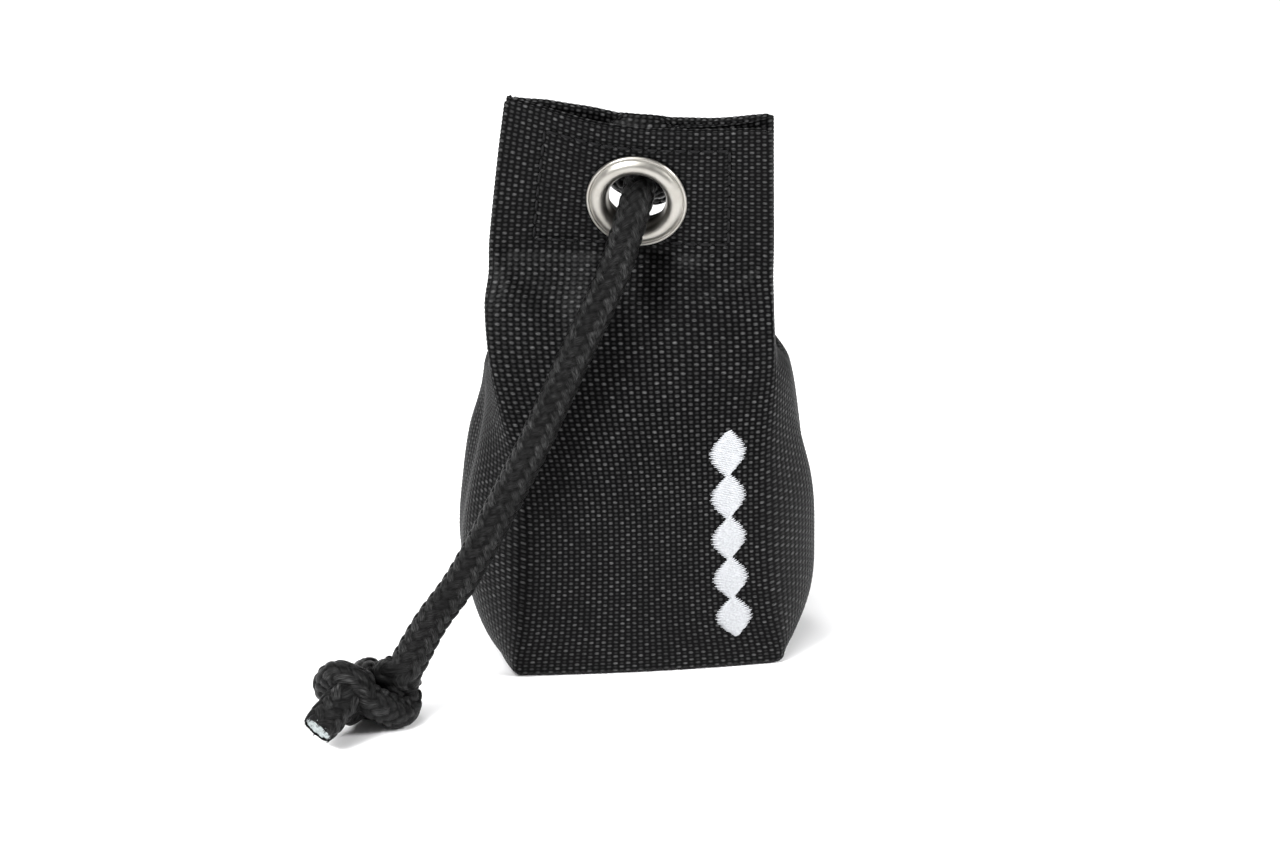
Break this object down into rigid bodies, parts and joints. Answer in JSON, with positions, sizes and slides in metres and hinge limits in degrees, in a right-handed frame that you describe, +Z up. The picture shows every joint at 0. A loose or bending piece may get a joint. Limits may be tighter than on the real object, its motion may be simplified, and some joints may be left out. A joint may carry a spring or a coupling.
{
  "type": "dog training bumper",
  "caption": "Pocket-size cloth training bumper: a filled gusseted pouch with a flat base, a stitched top band, an eyelet and a knotted throwing cord.",
  "frame": {"origin": "on the ground under the middle of the pouch's bounding box, measured without the cord", "axes": "+Z up, from the base to the top band; the front, with the embroidered mark and the cord, faces -Y; +X to the right seen from the front"},
  "size_m": [0.1092, 0.0782, 0.1194],
  "materials": {
    "heavy_cloth": "coarse plain-woven black synthetic cloth, slightly glossy threads",
    "lining": "plain dark lining cloth",
    "thread": "black bonded sewing thread",
    "white_thread": "white satin embroidery thread",
    "nickel": "satin nickel plate",
    "cord_braid": "black braided multifilament, silky",
    "cord_core": "white cut core, heat-sealed",
    "filling": "loose granulate, taken as one solid"
  },
  "bodies": {
    "pouch": {"front_panel": "heavy_cloth", "back_panel": "heavy_cloth", "left_gusset": "heavy_cloth", "right_gusset": "heavy_cloth", "base_panel": "heavy_cloth", "liner_bag": "lining", "filling": "filling", "seam_thread_front_left": "thread", "seam_thread_front_right": "thread", "seam_thread_back_left": "thread", "seam_thread_back_right": "thread", "base_seam_thread": "thread", "box_stitch_front": "thread", "box_stitch_back": "thread", "embroidered_mark": "white_thread", "eyelet": "nickel", "eyelet_washer": "nickel"},
    "cord_in_eyelet": {"cord_bight": "cord_braid", "stopper_knot": "cord_braid"},
    "free_cord": {"cord_tail": "cord_braid", "end_knot": "cord_braid", "cord_stub": "cord_braid", "cord_core": "cord_core"}
  },
  "joints": [
    {"name": "cord_swivel", "type": "hinge", "parent": "pouch", "child": "cord_in_eyelet", "pos_m": [-0.00253, -0.01668, 0.0978], "axis": [0.2252, 0.938, 0.2637], "continuous": true},
    {"name": "cord_lift", "type": "hinge", "parent": "cord_in_eyelet", "child": "free_cord", "pos_m": [-0.00253, -0.01668, 0.0978], "axis": [-0.8754, 0.076, 0.4774], "range_deg": [0, 110]}
  ]
}
